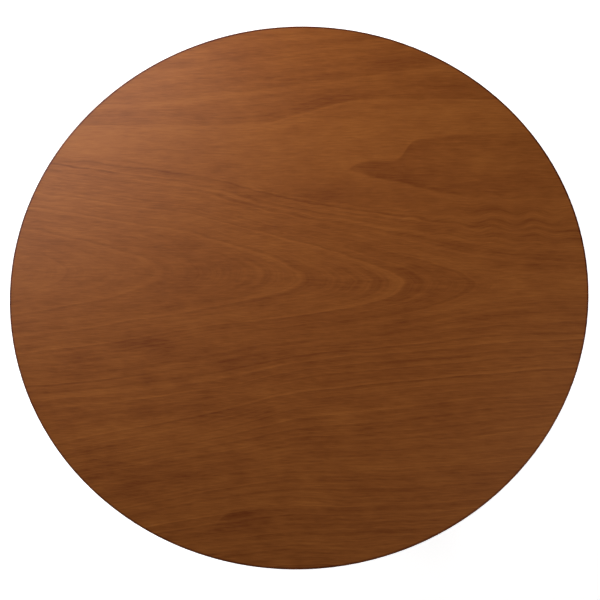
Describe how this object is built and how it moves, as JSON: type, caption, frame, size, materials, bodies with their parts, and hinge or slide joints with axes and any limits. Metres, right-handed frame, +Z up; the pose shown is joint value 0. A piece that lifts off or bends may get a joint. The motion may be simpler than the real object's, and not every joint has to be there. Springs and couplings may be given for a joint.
{
  "type": "tilt-top table",
  "caption": "Round veneered tabletop on battens, hinged to a block on a turned pillar with splayed legs, held level by a sprung catch and tilting upright.",
  "frame": {"origin": "on the floor, under the middle of the pillar and of the level top", "axes": "+Z up; X along the hinge axis and the grain of the face veneer; -Y is the front edge, which goes down when the top is tilted"},
  "size_m": [0.762, 0.762, 0.71],
  "materials": {
    "figured_veneer": "satin lacquer over stained, figured face veneer",
    "backing_veneer": "thinly sealed, almost matt",
    "core_board": "raw board, hidden inside the top",
    "stained_wood": "satin lacquer over brown stain",
    "wedge_wood": "bare end, lightly stained",
    "aged_brass": "satin, slightly tarnished",
    "steel_screw": "dull, slotted",
    "spring_steel": "bright wire",
    "black_iron": "blackened sheet iron",
    "nylon_glide": "brown nylon, scuffed"
  },
  "bodies": {
    "pedestal": {"pivot_block": "stained_wood", "strike_plate": "aged_brass", "strike_screws": "aged_brass", "pivot_screw_left": "steel_screw", "pivot_screw_right": "steel_screw", "pivot_washers": "aged_brass", "pillar": "stained_wood", "tenon_wedge": "wedge_wood", "leg_rear": "stained_wood", "leg_front_left": "stained_wood", "leg_front_right": "stained_wood", "spider_plate": "black_iron", "spider_screws": "steel_screw", "glide_rear": "nylon_glide", "glide_front_left": "nylon_glide", "glide_front_right": "nylon_glide", "glide_nails": "steel_screw"},
    "top": {"face_veneer": "figured_veneer", "top_core": "core_board", "edge_lipping": "stained_wood", "back_veneer": "backing_veneer", "batten_left": "stained_wood", "batten_right": "stained_wood", "batten_screws": "steel_screw", "pivot_bush_left": "aged_brass", "pivot_bush_right": "aged_brass", "catch_plate": "aged_brass", "catch_case": "aged_brass", "catch_spring": "spring_steel", "catch_screws": "aged_brass"},
    "catch_bolt": {"catch_bolt": "aged_brass", "catch_knob": "aged_brass"}
  },
  "joints": [
    {"name": "top_tilt", "type": "hinge", "parent": "pedestal", "child": "top", "pos_m": [0, -0.0494, 0.674], "axis": [1, 0, 0], "range_deg": [0, 90]},
    {"name": "catch_slide", "type": "slide", "parent": "top", "child": "catch_bolt", "axis": [0, -1, 0], "range_m": [0, 0.0048], "stiffness_N_per_m": 100, "springref_m": 0.03, "deforming": ["catch_spring"]}
  ]
}
